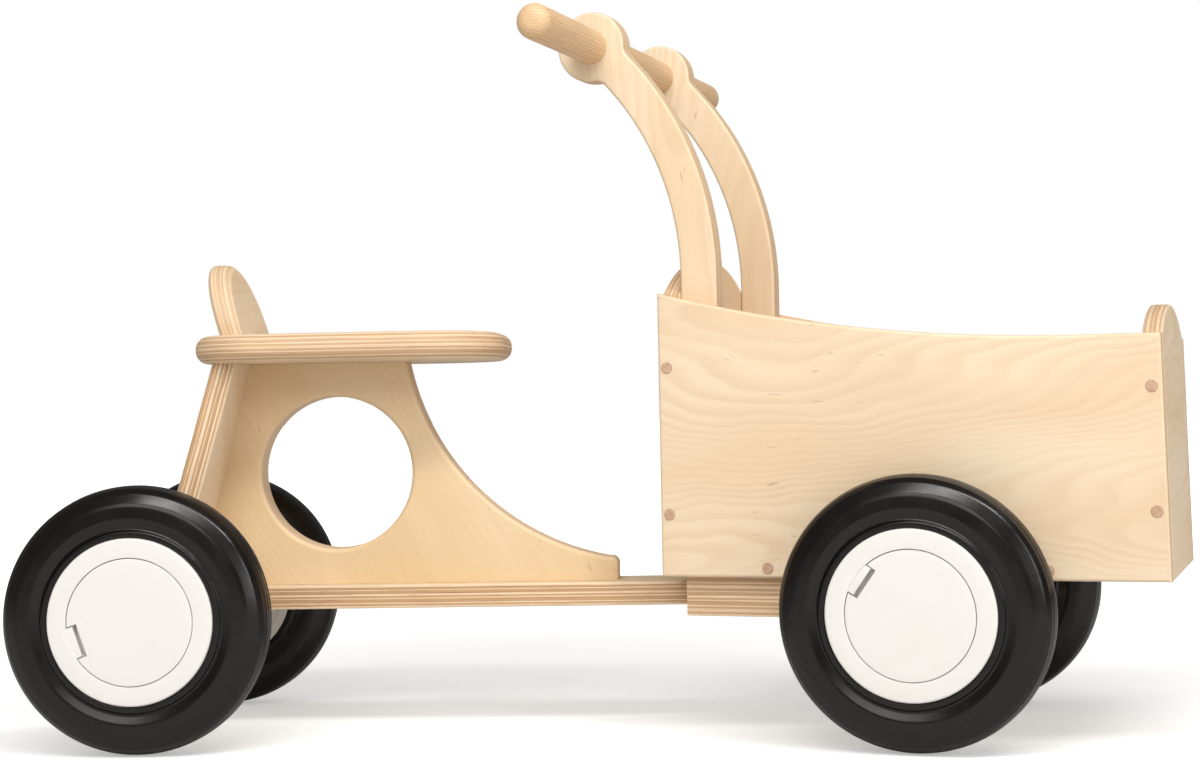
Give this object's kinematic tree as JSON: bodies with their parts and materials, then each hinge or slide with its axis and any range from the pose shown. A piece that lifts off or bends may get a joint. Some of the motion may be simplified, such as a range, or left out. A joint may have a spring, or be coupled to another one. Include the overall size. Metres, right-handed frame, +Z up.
{
  "type": "four-wheeled wooden ride-on balance bike with cargo box",
  "caption": "Birch plywood ride-on toy: seat on a centre beam, steered front truck with an open cargo box, upright arms with a dowel handlebar, and rubber-tyred wheels.",
  "frame": {"origin": "middle of the bounding box at ground level", "axes": "+X towards the cargo box at the front, +Y to the rider's left, +Z up from the ground"},
  "size_m": [0.7484, 0.375, 0.4612],
  "materials": {
    "birch_ply": "clear matt lacquer, layered edges",
    "beech": "clear matt lacquer",
    "tyre_rubber": "satin black rubber",
    "hub_plastic": "satin white",
    "bush_nylon": "natural nylon",
    "zinc_steel": "zinc plated"
  },
  "bodies": {
    "frame": {"base_beam": "birch_ply", "centre_web": "birch_ply", "rear_axle_block": "birch_ply", "back_panel": "birch_ply", "seat_board": "birch_ply", "backrest": "birch_ply", "frame_screws": "zinc_steel", "block_screws": "zinc_steel", "seat_dowels": "beech", "backrest_dowels": "beech", "rear_axle_rod": "zinc_steel", "rear_axle_spacers": "zinc_steel", "rear_axle_nuts": "zinc_steel"},
    "front_truck": {"cargo_floor": "birch_ply", "cargo_side_right": "birch_ply", "cargo_side_left": "birch_ply", "cargo_rear_panel": "birch_ply", "cargo_front_panel": "birch_ply", "side_plugs_right": "beech", "side_plugs_left": "beech", "handle_arm_right": "birch_ply", "handle_arm_left": "birch_ply", "handlebar": "beech", "arm_screws": "zinc_steel", "axle_rail_right": "birch_ply", "axle_rail_left": "birch_ply", "rail_screws": "zinc_steel", "front_axle_rod": "zinc_steel", "front_axle_spacers": "zinc_steel", "front_axle_nuts": "zinc_steel", "pivot_bolt": "zinc_steel", "glide_washer": "zinc_steel", "pivot_washer": "zinc_steel", "pivot_nut": "zinc_steel"},
    "rear_right_wheel": {"rear_right_tyre": "tyre_rubber", "rear_right_rim": "hub_plastic", "rear_right_bush": "bush_nylon", "rear_right_hub_cap": "hub_plastic"},
    "rear_left_wheel": {"rear_left_tyre": "tyre_rubber", "rear_left_rim": "hub_plastic", "rear_left_bush": "bush_nylon", "rear_left_hub_cap": "hub_plastic"},
    "front_right_wheel": {"front_right_tyre": "tyre_rubber", "front_right_rim": "hub_plastic", "front_right_bush": "bush_nylon", "front_right_hub_cap": "hub_plastic"},
    "front_left_wheel": {"front_left_tyre": "tyre_rubber", "front_left_rim": "hub_plastic", "front_left_bush": "bush_nylon", "front_left_hub_cap": "hub_plastic"}
  },
  "joints": [
    {"name": "steering", "type": "hinge", "parent": "frame", "child": "front_truck", "pos_m": [0.13634, -0.02368, 0.0975], "axis": [0, 0, 1], "range_deg": [-3.4, 36.6]},
    {"name": "rear_right_spin", "type": "hinge", "parent": "frame", "child": "rear_right_wheel", "pos_m": [-0.29166, -0.13368, 0.0825], "axis": [0, 1, 0], "continuous": true},
    {"name": "rear_left_spin", "type": "hinge", "parent": "frame", "child": "rear_left_wheel", "pos_m": [-0.29166, 0.08632, 0.0825], "axis": [0, 1, 0], "continuous": true},
    {"name": "front_right_spin", "type": "hinge", "parent": "front_truck", "child": "front_right_wheel", "pos_m": [0.17966, -0.15138, 0.0825], "axis": [0.2857, 0.9583, 0], "continuous": true},
    {"name": "front_left_spin", "type": "hinge", "parent": "front_truck", "child": "front_left_wheel", "pos_m": [0.24251, 0.05945, 0.0825], "axis": [0.2857, 0.9583, 0], "continuous": true}
  ]
}
